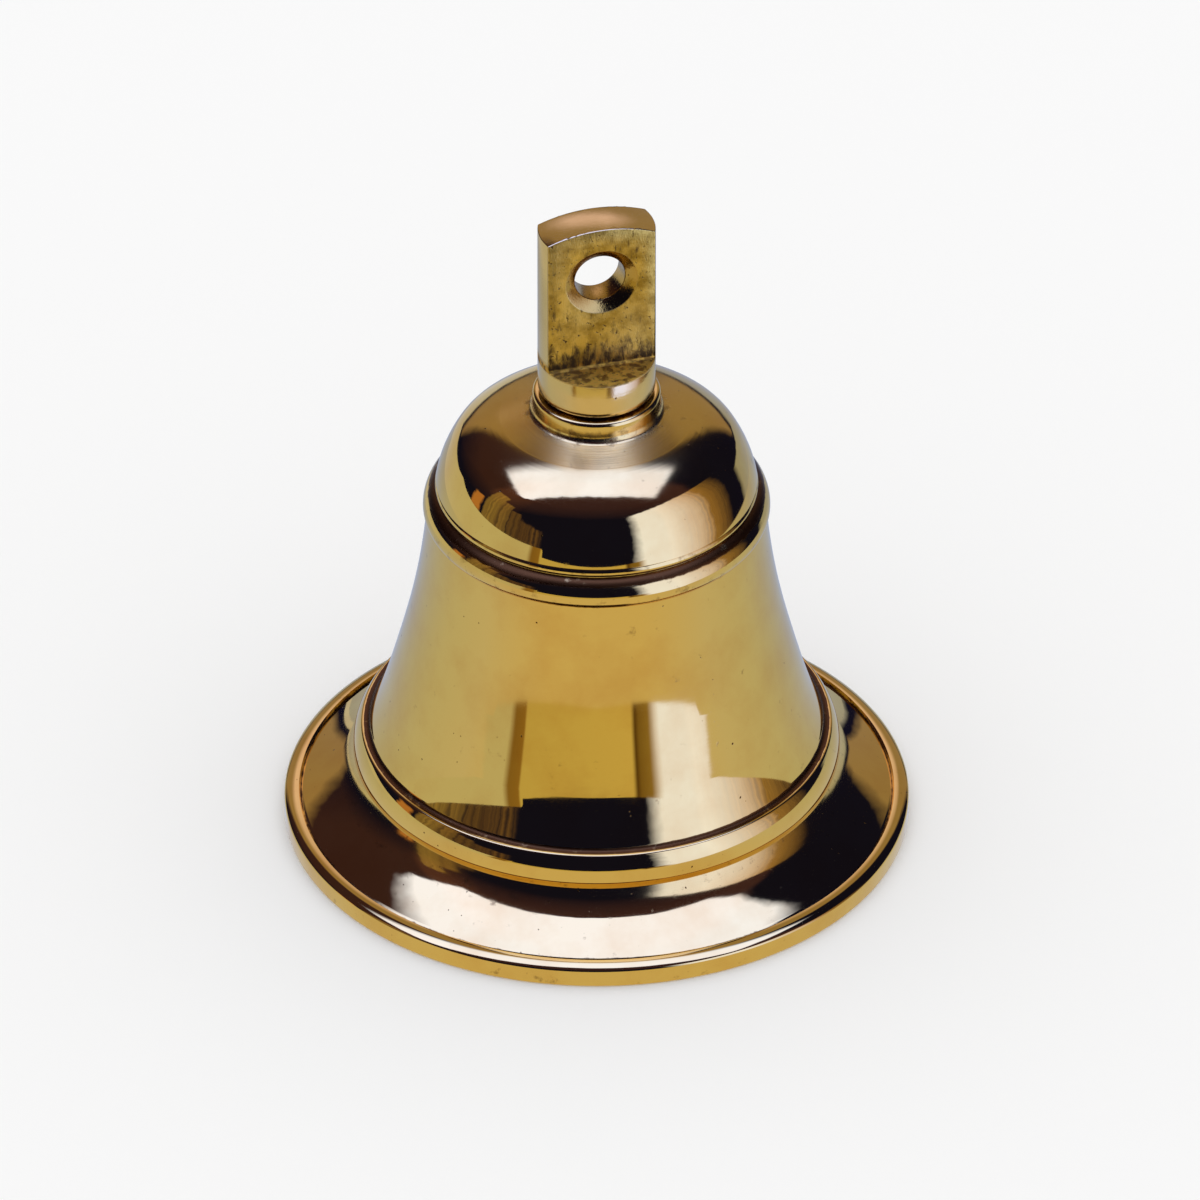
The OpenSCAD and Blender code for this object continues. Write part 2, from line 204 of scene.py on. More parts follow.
# %% Upper bead
crown_r = 21.8
groove = 0.15
ring_height, ring_r = 1.15, 0.75
brow_r, chin_r = 2.8, 2
top_bead = point(crown_r + 1.75, 50.3)
waist_top = reached(top_bead, chin_r, 0, -40)
neck_r = crown_r - groove
over_rise = math.sqrt(brow_r ** 2 - (neck_r - top_bead.x + brow_r) ** 2)
bead_over = point(neck_r, top_bead.y + over_rise)
bead_brow = reached(top_bead, brow_r, 0, 44)
ring_low = bead_over + point(0, groove)
ring_high = ring_low + point(0, ring_height)
print("upper bead:", round(top_bead.x, 2), "mm from the axis,", round(top_bead.y, 2), "mm up")

# %% [markdown]
# ## The crown and the boss
# The crown is the domed top, and the boss on it is the seat of the hanging stud.
# A turner shapes a dome with a few radii that run into each other, so three arcs
# make it here too. A Bezier curve is quicker to draw, but its curvature wavers,
# and a polished surface shows that at once.

# %% Crown and boss
side_r, shoulder_r, slope_r = 18.4, 7, 15.2
crown_lean, side_lean, shoulder_lean, slope_lean = 11, 30, 48, 71
crown_foot = point(crown_r, ring_high.y + groove)
shoulder_low = reached(crown_foot, side_r, crown_lean, side_lean)
shoulder_high = reached(shoulder_low, shoulder_r, side_lean, shoulder_lean)
slope_foot = reached(shoulder_high, slope_r, shoulder_lean, slope_lean)
slope = math.tan(math.radians(90 - slope_lean))

boss_r, boss_height, boss_round, boss_cove = 8.7, 3.05, 0.6, 1
cove_side = polar(boss_cove, slope_lean)
crown_top_x = boss_r + boss_cove - cove_side.x
crown_top = point(crown_top_x, slope_foot.y + (slope_foot.x - crown_top_x) * slope)
boss_top = crown_top.y + boss_height
boss_foot = point(boss_r, crown_top.y + cove_side.y)
boss_edge = point(boss_r - boss_round, boss_top)
bore = 4.25
print("boss top at", round(boss_top, 3), "mm")

# %% [markdown]
# ## The inside of the wall
# The inside runs parallel to the outside, as an even wall rings best. A Solidify
# modifier would give an even wall too, but it couldn't open the mouth in a curve
# of its own, or leave a flat seat for the washer under the crown.

# %% Inside of the wall
wall, crown_wall = 2.6, 2.7
mouth_edge = point(37.75, 0)
mouth_flare_top = 8.6
inner_waist_r = 91 + wall
inner_knee = knee - polar(wall, taper)
cone_rise = inner_knee.y - mouth_flare_top
inner_flare = point(inner_knee.x + cone_rise * math.tan(math.radians(taper)), mouth_flare_top)
run = mouth_edge - inner_flare
flare_bow = run.length_squared / (2 * run.dot(polar(1, taper)))
inner_waist_top = waist_top - polar(wall, 3)
inner_foot = crown_foot - polar(crown_wall, crown_lean)
inner_low = shoulder_low - polar(crown_wall, side_lean)
inner_high = shoulder_high - polar(crown_wall, shoulder_lean)
inner_slope = slope_foot - polar(crown_wall, slope_lean)
seat_r = 9.5
seat = point(seat_r, inner_slope.y + (inner_slope.x - seat_r) * slope)
print("washer's seat at", round(seat.y, 3), "mm")

# %% [markdown]
# ## How each stretch of the outline is finished
# The buffing wheel reaches the waist, the beads and the flange, so they are
# mirrors. It misses the boss and the top of the crown, where the fine rings of
# the turning tool stay, and dirt stays in grooves and coves. The cove at the foot
# of the waist, the groove over the upper bead and, a little, the hollow under the
# lower bead are darkened the same way, as painted shade. Each stretch below
# carries shares from 0 to 1 for this: satin at its start and end, and soil, which
# also carries that painted shade. They become attributes of the skin, so the
# material follows the surface. A painted mask would do the same, but it would
# need an image.

# %% Outside and inside, stretch by stretch
OUTSIDE = [
    ([point(bore, boss_top)], 0.6, 0.6, 0.7),
    (arc(boss_edge, boss_edge + point(boss_round, -boss_round), boss_round), 0.3, 0.2, 0.1),
    (arc(boss_foot, crown_top, -boss_cove), 0.3, 0.6, 0.35),
    ([crown_top + polar(0.7, slope_lean - 90)], 0.6, 0.6, 0.1),
    (arc(slope_foot, shoulder_high, slope_r), 0.35, 0.03, 0.0),
    (arc(shoulder_high, shoulder_low, shoulder_r), 0.02, 0.0, 0.0),
    (arc(shoulder_low, crown_foot, side_r), 0.0, 0.0, 0.0),
    (arc(ring_high, ring_low, ring_r), 0.1, 0.1, 0.25),
    # Painted shade: the groove over the upper bead is darkened almost to the dirt colour
    (arc(bead_over, bead_brow, brow_r), 0.25, 0.2, 0.95),
    (arc(bead_brow, top_bead, brow_r), 0.1, 0.0, 0.15),
    (arc(top_bead, waist_top, chin_r), 0.0, 0.2, 0.2),
    (arc(waist_top, knee, -waist_r), 0.0, 0.0, 0.0),
    (arc(knee, flare_top, -low_r), 0.0, 0.0, 0.0),
    (arc(flare_top, waist_foot, -flare_r), 0.0, 0.0, 0.0),
    # Painted shade: the cove at the foot of the waist and its crease are darkened, for the dark a
    # deeper cove would mirror
    (arc(waist_foot, cove_end, -foot_cove), 0.3, 0.3, 0.95),
    ([crease], 0.3, 0.3, 0.95),
    (arc(bead_shelf, bead_face_end, shelf_corner), 0.05, 0.0, 0.05),
    (arc(bead_face_end, bead, bead_face_r), 0.0, 0.0, 0.0),
    (arc(bead, bead_under, bead_under_r), 0.0, 0.1, 0.1),
    # A little painted shade in the hollow under the lower bead
    (arc(bead_under, hollow_end, -hollow_r), 0.25, 0.05, 0.12),
    (arc(hollow_end, lip, -flange_r), 0.0, 0.0, 0.0),
    ([land_groove], 0.1, 0.1, 0.7),
    (arc(land_inner, rim_join, land_r), 0.03, 0.03, 0.0),
    (arc(rim_join, rim_corner + point(rim_round, 0), rim_round), 0.0, 0.1, 0.0),
    (arc(point(rim_r, rim_chamfer), point(rim_r - rim_chamfer, 0), rim_chamfer), 0.1, 0.4, 0.1),
]
INSIDE = [
    (arc(mouth_edge, inner_flare, flare_bow), 0.7, 0.8, 0.18),
    (arc(inner_knee, inner_waist_top, inner_waist_r), 0.9, 0.9, 0.25),
    (arc(inner_foot, inner_low, crown_wall - side_r), 0.9, 0.9, 0.4),
    (arc(inner_low, inner_high, crown_wall - shoulder_r), 0.9, 0.9, 0.45),
    (arc(inner_high, inner_slope, crown_wall - slope_r), 0.9, 0.9, 0.5),
    ([seat, point(bore, seat.y)], 0.8, 0.8, 0.4),
]
print("stretches:", len(OUTSIDE), "outside and", len(INSIDE), "inside")

# %% [markdown]
# ## One outline with its attributes
# Joined end to end, the stretches close round the wall. Each point keeps its
# shares and how far along the outline it lies, which places the rings of the
# turning tool. The height would do for that on the waist, but not on the flange.

# %% Join the stretches
SAME_PLACE = 0.002
# The soil shares also carry the painted shade of the bell's deepest creases
outline, satin, soil_and_shade = [], [], []
for places, satin_start, satin_end, soil_and_shade_share in OUTSIDE + INSIDE:
    for i, place in enumerate(places):
        if not outline or (place - outline[-1]).length > SAME_PLACE:
            outline.append(place)
            satin.append(satin_start + (satin_end - satin_start) * i / max(len(places) - 1, 1))
            soil_and_shade.append(soil_and_shade_share)
along = [0.0]
for first, second in zip(outline, outline[1:]):
    along.append(along[-1] + (second - first).length)
print("outline:", len(outline), "points,", round(along[-1], 1), "mm along")

# %% [markdown]
# ## The lathe
# Turning is a rule, so Geometry Nodes make every turned piece. The outline is
# swept round a circle with Curve to Mesh. A Screw modifier or the Spin tool would
# do it too, but here the number of steps round the piece stays a named input,
# and the attributes of the outline come along by themselves.

# %% Lathe made with Geometry Nodes
# The outline rides on a circle of this radius, so it starts that much further in
HUB = 10 * MM
print("hub of the lathe:", HUB / MM, "mm")


def lathe_tree(material):
    tree = bpy.data.node_groups.new("lathe", "GeometryNodeTree")
    inputs = name_sockets(tree, "INPUT", {"Geometry": "Geometry", "Steps round": "Int",
                                          "Hub radius": "Float"})
    name_sockets(tree, "OUTPUT", {"Geometry": "Geometry"})
    given = add(tree, "NodeGroupInput").outputs
    circle = add(tree, "GeometryNodeCurvePrimitiveCircle",
                 {"Resolution": given["Steps round"], "Radius": given["Hub radius"]}, mode="RADIUS")
    section = add(tree, "GeometryNodeMeshToCurve", {0: given["Geometry"]})
    swept = add(tree, "GeometryNodeCurveToMesh", {"Curve": circle, "Profile Curve": section})
    smooth = add(tree, "GeometryNodeSetShadeSmooth", {"Geometry": swept, "Shade Smooth": True})
    real = add(tree, "GeometryNodeRealizeInstances", {0: smooth})
    dressed = add(tree, "GeometryNodeSetMaterial", {"Geometry": real, "Material": material})
    add(tree, "NodeGroupOutput", {"Geometry": dressed})
    return tree, inputs


# %% [markdown]
# ## From modifiers to plain meshes
# Modifiers keep every step open, but a finished piece is a closed mesh with its
# faces outwards and its object at the origin. These helpers take what the
# modifiers make, merge the doubles at the seam and the poles, and mark the sharp
# corners. Apply and Merge by Distance do the same by hand, once for each piece.

# %% Making a plain mesh of what modifiers give
SAME_VERTEX = 1e-7
NO_EDGE = 1e-8


def link_object(name, mesh):
    piece = bpy.data.objects.new(name, mesh)
    bpy.context.scene.collection.objects.link(piece)
    return piece


def plain_mesh(piece):
    """Turns what the modifiers make into the object's own mesh."""
    bpy.context.view_layer.update()
    graph = bpy.context.evaluated_depsgraph_get()
    made = bpy.data.meshes.new_from_object(piece.evaluated_get(graph))
    piece.modifiers.clear()
    piece.data = made
    return made


def tidy_mesh(mesh, corner):
    """Merges doubles, points the faces outwards and marks edges over that angle sharp."""
    shell = bmesh.new()
    shell.from_mesh(mesh)
    bmesh.ops.remove_doubles(shell, verts=shell.verts, dist=SAME_VERTEX)
    bmesh.ops.dissolve_degenerate(shell, edges=shell.edges, dist=NO_EDGE)
    bmesh.ops.recalc_face_normals(shell, faces=shell.faces)
    shell.to_mesh(mesh)
    shell.free()
    mesh.set_sharp_from_angle(angle=math.radians(corner))


# %% [markdown]
# ## Turning a piece
# On a lathe the tool follows an outline while the work turns. This function does
# it for any outline, so the bell, the stud and even the drills come from it. A
# piece with a bore has a closed outline. A solid piece could be closed along the
# axis too, but that would leave a line of faces without area, so it stays open.

# %% Turning a piece
# Turned edges over this many degrees stay sharp
TURNED_CORNER = 20


def turned(name, profile, material, steps_round, closed=True, marks=None, place=None):
    """A turned piece from outline points in millimetres, and its attributes.

    A solid piece's outline is open: it starts and ends on the axis.
    """
    mesh = bpy.data.meshes.new(name)
    rows = [(p.x * MM - HUB, -p.y * MM, 0) for p in profile]
    joints = [(i, i + 1) for i in range(len(rows) - 1)]
    if closed:
        joints.append((len(rows) - 1, 0))
    mesh.from_pydata(rows, joints, [])
    for mark, shares in (marks or {}).items():
        mesh.attributes.new(mark, "FLOAT", "POINT").data.foreach_set("value", shares)
    piece = link_object(name, mesh)
    lathe = piece.modifiers.new("lathe", "NODES")
    lathe.node_group, inputs = lathe_tree(material)
    lathe[inputs["Steps round"]] = steps_round
    lathe[inputs["Hub radius"]] = HUB
    made = plain_mesh(piece)
    if place:
        made.transform(place)
    tidy_mesh(made, TURNED_CORNER)
    return piece


print("turned edges stay sharp over", TURNED_CORNER, "degrees")

# %% [markdown]
# ## Sums and coats
# Wear is a sum of small things. Roughness and height add up many marks, each
# with its own weight, and colour is laid over colour as a painter glazes. Both
# could be wired node by node, but a loop keeps the list of marks in one place.

# %% Adding up marks and laying colours over each other
def add_up(tree, total, parts):
    """Adds parts to a value, each times its weight."""
    for part, weight in parts:
        total = add(tree, "ShaderNodeMath", {0: part, 1: weight, 2: total},
                    operation="MULTIPLY_ADD")
    return total


def lay_over(tree, look, coats):
    """Lays coats of colour over a look, each as far as its share goes."""
    for share, coat in coats:
        look = add(tree, "ShaderNodeMix", {0: share, 6: look, 7: coat}, data_type="RGBA")
    return look


print("helpers for wear: add_up and lay_over")

# %% [markdown]
# ## Patterns of a worn metal
# A turned and handled metal has fine rings, wipe marks of the cloth, clouds where
# it was held, grime, specks and a faint ripple. Photographs of metal could be
# laid on, but noise has no seam and its width can be set in real millimetres.
# The rings of a real tool are finer than half a millimetre, which wouldn't show.

# %% Patterns of a worn metal
# Widths of the marks in millimetres, their detail and their roughness
PATCHES = {"clouds": (9.1, 4, 0.6), "grime_and_shade": (2.0, 5, 0.65), "specks": (0.77, 1, 0.5),
           "ripple": (2.86, 1, 0.5)}
RING_SPACING = 0.5
WIPE_WIDTH = 0.455
# Wipe marks run round the axis as on a ring of this radius, so they come out long
WIPE_RING = 3


def worn_patterns(tree, given):
    noise = {}
    for name, (width, detail, roughness) in PATCHES.items():
        noise[name] = add(tree, "ShaderNodeTexNoise",
                          {"Vector": given["Place"], "Scale": 1 / width, "Detail": detail,
                           "Roughness": roughness})
    noise["rings"] = add(tree, "ShaderNodeTexNoise",
                         {"W": given["Along"], "Scale": 1 / RING_SPACING, "Roughness": 0.6},
                         noise_dimensions="1D")
    # Long round the axis and fine across it
    outwards = add(tree, "ShaderNodeVectorMath", {0: given["Place"], 1: (1, 1, 0)},
                   operation="MULTIPLY")
    around = add(tree, "ShaderNodeVectorMath", {0: outwards}, operation="NORMALIZE")
    lift = add(tree, "ShaderNodeCombineXYZ", {"Z": given["Along"]})
    wipe_place = add(tree, "ShaderNodeVectorMath",
                     {0: around, 1: (WIPE_RING, WIPE_RING, 0), 2: lift},
                     operation="MULTIPLY_ADD")
    noise["wipes"] = add(tree, "ShaderNodeTexNoise",
                         {"Vector": wipe_place, "Scale": 1 / WIPE_WIDTH, "Detail": 3})
    return noise


print("widths of the marks:", {name: row[0] for name, row in PATCHES.items()})

# %% [markdown]
# ## Brass, new and worn
# Yellow brass is copper with about a third of zinc. Clean and buffed it is a
# gold-coloured mirror. Touched and left, it turns browner, loses its gloss in
# patches and collects dark specks. One node group mixes these looks for every
# metal here. It takes a place in millimetres, the distance along the turned
# outline, and the shares of satin and soil. On the bell the soil share also lays
# the dark dirt colour into its deepest creases as painted shade. A tree for each
# metal would repeat it.

# %% A group for the surface of a worn metal
def worn_metal_group():
    tree = bpy.data.node_groups.new("worn_metal", "ShaderNodeTree")
    name_sockets(tree, "INPUT", {"Place": "Vector", "Along": "Float", "Satin": "Float",
                                 "Soil_And_Shade": "Float", "Metal": "Color", "Dull": "Color",
                                 "Dirt_And_Shade": "Color"})
    name_sockets(tree, "OUTPUT", {"Colour": "Color", "Roughness": "Float", "Height": "Float"})
    given = add(tree, "NodeGroupInput").outputs
    noise = worn_patterns(tree, given)
    # The dirt colour goes where the soil share and the grime noise are high; in the bell's deepest
    # creases this is painted shade
    grime_and_shade = add(tree, "ShaderNodeMath", {0: given["Soil_And_Shade"], 1: 0.55, 2: noise["grime_and_shade"]},
                operation="MULTIPLY_ADD")
    dirt_and_shade, dull, fleck = [
        add(tree, "ShaderNodeMapRange", {"Value": value, "From Min": low, "From Max": high})
        for value, low, high in ((grime_and_shade, 0.66, 0.92), (noise["clouds"], 0.42, 0.68),
                                 (noise["specks"], 0.79, 0.81))]
    look = lay_over(tree, given["Metal"], [(dull, given["Dull"]), (dirt_and_shade, given["Dirt_And_Shade"]),
                                           (fleck, given["Dirt_And_Shade"])])
    rough = add_up(tree, 0.02, [(given["Satin"], 0.34), (dirt_and_shade, 0.22), (dull, 0.025),
                                (noise["wipes"], 0.02), (fleck, 0.3)])
    # Height in thousandths of a millimetre
    ring_depth = add(tree, "ShaderNodeMath", {0: given["Satin"], 1: 12, 2: 0.06},
                     operation="MULTIPLY_ADD")
    height = add_up(tree, 0, [(noise["rings"], ring_depth), (noise["ripple"], 1.4), (dirt_and_shade, 3),
                              (fleck, -6), (noise["wipes"], 0.15)])
    add(tree, "NodeGroupOutput", {"Colour": look, "Roughness": rough, "Height": height})
    return tree


WORN_METAL = worn_metal_group()
print("worn metal group:", len(WORN_METAL.nodes), "nodes")

# %% [markdown]
# ## From the group to a finished metal
# A material joins the group to one Principled shader. Metallic is 1, and the
# bump is given in thousandths of a millimetre, because the marks of a turning
# tool are only a few of them deep. Real displacement would show no more.

# %% A metal from the group
THOUSANDTH = 0.001 * MM


def new_tree(name):
    material = bpy.data.materials.new(name)
    material.use_nodes = True
    material.node_tree.nodes.clear()
    return material, material.node_tree


def place_in_mm(tree):
    """Place on the piece in millimetres, and its three axes."""
    object_place = add(tree, "ShaderNodeTexCoord").outputs["Object"]
    place = add(tree, "ShaderNodeVectorMath", {0: object_place, "Scale": 1 / MM},
                operation="SCALE")
    return place, add(tree, "ShaderNodeSeparateXYZ", {0: place}).outputs


def finish_metal(tree, tones, sockets, least_rough=0.0, dents=None):
    """Adds the worn metal group and its shader.

    The tones are clean metal, dull metal, and the dark brown of soiling, which on
    the bell also stands for painted shade in its deepest creases. The sockets are
    Place, Along, Satin and the share of soiling and painted shade. A rougher ground
    and dents of its own may come on top.
    """
    metal, dull, dirt_and_shade = [colour(tone) if isinstance(tone, str) else tone for tone in tones]
    worn = add(tree, "ShaderNodeGroup", {"Metal": metal, "Dull": dull, "Dirt_And_Shade": dirt_and_shade, **sockets},
               node_tree=WORN_METAL).outputs
    rough = add(tree, "ShaderNodeMath", {0: worn["Roughness"], 1: least_rough},
                operation="MAXIMUM")
    bump = add(tree, "ShaderNodeBump", {"Height": worn["Height"], "Distance": THOUSANDTH})
    if dents:
        bump = add(tree, "ShaderNodeBump",
                   {"Height": dents, "Distance": THOUSANDTH, "Normal": bump})
    shader = add(tree, "ShaderNodeBsdfPrincipled",
                 {"Base Color": worn["Colour"], "Roughness": rough, "Normal": bump,
                  "Metallic": 1.0})
    add(tree, "ShaderNodeOutputMaterial", {"Surface": shader})


print("bump unit:", THOUSANDTH, "m")

# %% [markdown]
# ## The skin of the bell
# The bell is buffed on a soft wheel. To the eye it is a warm gold mirror, with
# faint clouds of handling that tell metal from glass. The creases are brown: old
# polish in some, and painted shade in the cove at the foot of the waist and in
# the groove over the upper bead. A plain gold colour would do from afar, but
# close by the eye goes to such marks first. 360 steps keep the mirror free of
# corners.

# %% Buffed brass of the bell
def buffed_brass():
    """Mirror on the waist and flange, fine rings on the crown's top, tool marks inside."""
    material, tree = new_tree("buffed_brass")
    marks = {name.title(): add(tree, "ShaderNodeAttribute", attribute_name=name).outputs["Fac"]
             for name in ("along", "satin", "soil_and_shade")}
    # The third tone is the dirt colour, which in the bell's deepest creases is painted shade
    finish_metal(tree, ("#E7C061", "#E0B458", "#5E3A16"),
                 {"Place": place_in_mm(tree)[0], **marks})
    return material


BELL_STEPS = 360
bell = turned("bell_skin", outline, buffed_brass(), BELL_STEPS,
              marks={"along": along, "satin": satin, "soil_and_shade": soil_and_shade})
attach(bell, "bell")
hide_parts("bell_shell")
print("bell skin:", len(bell.data.polygons), "faces")

# %% [markdown]
# ## The hanging stud
# The stud is turned from 16 mm bar, and then two flats are milled on its head
# and a hole is drilled and countersunk through them. It is made here in the same
# order: the lathe turns it, and Boolean modifiers cut it like the real tools.
# The flats could be modelled face by face, but cutting keeps each tool's size.

# %% Outline of the stud
stud_r, stud_round, dome_r = 8.0, 1.2, 20.6
head_height = 27.9
shank_r, shank_chamfer = 4.0, 0.4
hinge_drop, past_hinge = 12.4, 3.8
STUD_STEPS = 160
head_top = boss_top + head_height
hinge_z = seat.y - hinge_drop
shank_end = hinge_z - past_hinge


def stud_outline():
    dome_drop = dome_r - math.sqrt(dome_r ** 2 - stud_r ** 2)
    foot = arc(point(stud_r - stud_round, boss_top), point(stud_r, boss_top + stud_round),
               -stud_round)
    dome = arc(point(stud_r, head_top - dome_drop), point(0, head_top), -dome_r)
    shank = [point(0, shank_end), point(shank_r - shank_chamfer, shank_end),
             point(shank_r, shank_end + shank_chamfer), point(shank_r, boss_top)]
    return shank + foot + dome


stud = turned("stud", stud_outline(), None, STUD_STEPS, closed=False)
print("top of the stud at", round(head_top, 3), "mm")

# %% [markdown]
# ## The cutters
# A milling cutter takes a straight bar of metal away, and leaves a round corner
# at the foot of its cut. A drill takes a turned shape. So bars and spools stand
# in for them. Cubes would do for the bars, but they would leave sharp corners.

# %% Cutters of the stud
tongue = 5.7
cutter_round = 0.5
foot_height = 5.7
flat_foot = boss_top + foot_height
eye_r, countersink_r, countersink_deep = 3.5, 5.0, 1.05
eye_drop = 8.6
eye_z = head_top - eye_drop
CUTTER_STEPS = 96
MILLED_CORNER = 30
TURN_TO_Y = Matrix.Rotation(math.radians(90), 4, "X")


def prism(name, section, half_length):
    """A bar along X with that section in Y and Z, in millimetres."""
    corners = [(side * half_length * MM, p.x * MM, p.y * MM) for side in (-1, 1) for p in section]
    count = len(section)
    faces = [tuple(range(count)), tuple(range(count, 2 * count))]
    faces += [(i, (i + 1) % count, count + (i + 1) % count, count + i) for i in range(count)]
    mesh = bpy.data.meshes.new(name)
    mesh.from_pydata(corners, [], faces)
    tidy_mesh(mesh, MILLED_CORNER)
    return link_object(name, mesh)


def flat_section(side):
    """Milled flat, with the round corner that the cutter leaves at its foot."""
    near, far, top = tongue / 2, stud_r + 1, head_top + 1
    corner = arc(point(near, flat_foot + cutter_round), point(near + cutter_round, flat_foot),
                 -cutter_round)
    places = [point(near, top)] + corner + [point(far, flat_foot), point(far, top)]
    return [point(side * p.x, p.y) for p in places]


def spool(name, half, height):
    """A turned cutter along Y at that height, alike on both sides of the middle."""
    where = Matrix.Translation((0, 0, height * MM)) @ TURN_TO_Y
    both = [point(p.x, -p.y) for p in reversed(half)] + half
    return turned(name, both, None, CUTTER_STEPS, closed=False, place=where)


print("eye of the stud at", round(eye_z, 3), "mm")

# %% [markdown]
# ## Cutting the stud
# The flats, the eye, the fork and the pin's hole are cut in the order of the real
# work, and then the cutters go. The fast solver would save a second, but the
# exact one copes with faces that lie in one plane, as those of the fork do.

# %% Cut the stud
fork_above_hinge = 4
fork_z = hinge_z + fork_above_hinge
fork_half, slot_half, pin_r = 3.5, 1.55, 1.5
past_shank = 6


def cut(piece, cutters):
    for cutter in cutters:
        step = piece.modifiers.new("cut", "BOOLEAN")
        step.operation = "DIFFERENCE"
        step.solver = "EXACT"
        step.object = cutter
    plain_mesh(piece)
    for cutter in cutters:
        bpy.data.objects.remove(cutter)


def eye_half():
    """Bore with its countersink, from the middle out past the stud."""
    deep = tongue / 2 - countersink_deep
    past = 2
    wide = eye_r + past * (countersink_r - eye_r) / countersink_deep
    end = stud_r + past
    return [point(eye_r, deep), point(wide, deep + past), point(wide, end), point(0, end)]


def fork_section(low, high):
    """Rectangle from below the shank up to the fork's shoulder."""
    foot = shank_end - 1
    return [point(low, foot), point(high, foot), point(high, fork_z), point(low, fork_z)]


cut(stud, [
    prism("flat", flat_section(1), stud_r + 1),
    prism("flat", flat_section(-1), stud_r + 1),
    spool("eye", eye_half(), eye_z),
    prism("fork flat", fork_section(fork_half, past_shank), stud_r),
    prism("fork flat", fork_section(-past_shank, -fork_half), stud_r),
    prism("slot", fork_section(-slot_half, slot_half), stud_r),
    spool("pin hole", [point(pin_r, past_shank), point(0, past_shank)], hinge_z),
])
print("stud cut:", len(stud.data.polygons), "faces")

# %% [markdown]
# ## Broken edges
# No edge on a machined part stays knife sharp: it is broken with a file or a
# brush, and catches the light. A Bevel modifier rounds every edge over 30
# degrees by a tenth of a millimetre. A Bevel node in the shader would round the
# light only, and the edge would still be sharp against the background.

# %% Round the stud's edges
def break_edges(piece, width):
    tidy_mesh(piece.data, MILLED_CORNER)
    bevel = piece.modifiers.new("edges", "BEVEL")
    bevel.width = width * MM
    bevel.segments = 2
    bevel.limit_method = "ANGLE"
    bevel.angle_limit = math.radians(MILLED_CORNER)
    bevel.use_clamp_overlap = False
    plain_mesh(piece)
    tidy_mesh(piece.data, MILLED_CORNER)


BROKEN_EDGE = 0.12
break_edges(stud, BROKEN_EDGE)
print("stud with broken edges:", len(stud.data.polygons), "faces")

# %% [markdown]
# ## Where the stud is milled
# The round sides of the stud keep the sheen of drawn bar, and the milled faces
# were never polished. Where a place lies and which way it faces gives the masks
# for this. Separate materials for each face would be simpler, but their borders
# would be too sharp.

# %% Masks of the milled faces
def milled_faces(tree, place, axes):
    """Shares from 0 to 1: on the flats, on the shelf at their foot and in the eye."""
    facing = add(tree, "ShaderNodeTexCoord").outputs["Normal"]
    normal = add(tree, "ShaderNodeSeparateXYZ", {0: facing}).outputs
    square_on = add(tree, "ShaderNodeMath", {0: normal["Y"]}, operation="ABSOLUTE")
    from_eye = add(tree, "ShaderNodeVectorMath", {0: place, 1: (1, 0, 1), 2: (0, 0, -eye_z)},
                   operation="MULTIPLY_ADD")
    eye_reach = add(tree, "ShaderNodeVectorMath", {0: from_eye}, operation="LENGTH")
    faces = {}
    for name, value, low, high in (
            ("upright", square_on, 0.85, 0.97),
            ("above", axes["Z"], flat_foot - 0.3, flat_foot),
            ("level", axes["Z"], flat_foot + 1.5, flat_foot + 0.6),
            ("eye", eye_reach, countersink_r + 0.15, countersink_r - 0.05)):
        faces[name] = add(tree, "ShaderNodeMapRange",
                          {"Value": value, "From Min": low, "From Max": high})
    for name, first, second, way in (
            ("flat", "upright", "above", "MULTIPLY"),
            ("shelf", "level", "above", "MULTIPLY"),
            ("flat or shelf", "flat", "shelf", "MAXIMUM"),
            ("milled", "flat or shelf", "eye", "MAXIMUM")):
        faces[name] = add(tree, "ShaderNodeMath", {0: faces[first], 1: faces[second]},
                          operation=way)
    return faces


print("flats from", round(flat_foot, 2), "mm up")

# %% [markdown]
# ## Marks of the workshop
# The milled faces are olive in places, pitted, scratched by the cutter and sooty
# over the shelf, and the shelf itself is chipped. Noise makes each of these, as
# wide as the real mark and kept to its own face. Painting them by hand would put
# each pit where it is on the real stud, but it would need an image.

# %% Soot, smudges, pits and chips
# Widths in millimetres, detail and roughness. A streak is upright, so it is stretched
GROUND = {"smudges": (2.38, 4, 0.6), "pits": (0.526, 2, 0.5), "chips": (0.91, 3, 0.5)}
UPRIGHT = {"streaks": (0.667, 5, 0.7), "scratches": (0.167, 3, 0.5)}
STREAK_STRETCH = (1.0, 1.0, 0.32)


def workshop_noise(tree, place):
    stretched = add(tree, "ShaderNodeMapping", {"Vector": place, "Scale": STREAK_STRETCH})
    noise = {}
    for where, rows in ((place, GROUND), (stretched, UPRIGHT)):
        for name, (width, detail, roughness) in rows.items():
            noise[name] = add(tree, "ShaderNodeTexNoise",
                              {"Vector": where, "Scale": 1 / width, "Detail": detail,
                               "Roughness": roughness})
    return noise


